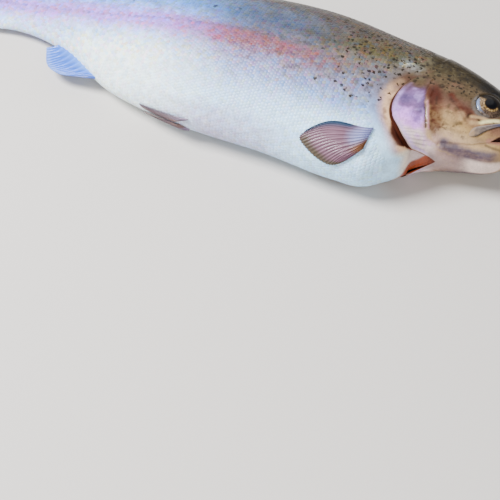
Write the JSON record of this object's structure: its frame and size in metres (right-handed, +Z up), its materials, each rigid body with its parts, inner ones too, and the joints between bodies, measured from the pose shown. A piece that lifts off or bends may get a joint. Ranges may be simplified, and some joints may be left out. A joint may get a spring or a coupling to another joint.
{
  "type": "rainbow trout model",
  "caption": "Life-size still model of a plump rainbow trout, caught and lying on its left side, fins folded and mouth slightly open",
  "frame": {"origin": "the middle of the bounding box in X and Y, on the surface that the fish lies on", "axes": "+X towards the snout, +Y towards the back, +Z up, which is the fish's right side"},
  "size_m": [0.4499, 0.1345, 0.0573],
  "materials": {
    "scaled_skin": "wet glossy scales, olive back, pink stripe, white belly",
    "head_skin": "wet glossy smooth skin, olive with black spots",
    "gill_cover": "wet pearly plate, lilac and pink",
    "jaw_skin": "wet smooth skin, grey and pale pink",
    "wet_flesh": "wet raw flesh, rust red",
    "mouth_lining": "wet mouth lining, dark pink",
    "eye": "glassy, gold iris and black pupil",
    "fin": "wet thin ribbed membrane"
  },
  "bodies": {
    "root": {"head": "head_skin", "lower_jaw": "jaw_skin", "maxilla_right": "jaw_skin", "maxilla_left": "jaw_skin", "gill_cover_right": "gill_cover", "gill_cover_left": "gill_cover", "throat": "wet_flesh", "trunk": "scaled_skin", "tail_stalk": "scaled_skin", "eye_right": "eye", "eye_left": "eye", "tongue": "mouth_lining", "dorsal_fin": "fin", "adipose_fin": "fin", "anal_fin": "fin", "tail_fin": "fin", "pectoral_fin_right": "fin", "pectoral_fin_left": "fin", "pelvic_fin_right": "fin", "pelvic_fin_left": "fin"}
  },
  "joints": []
}
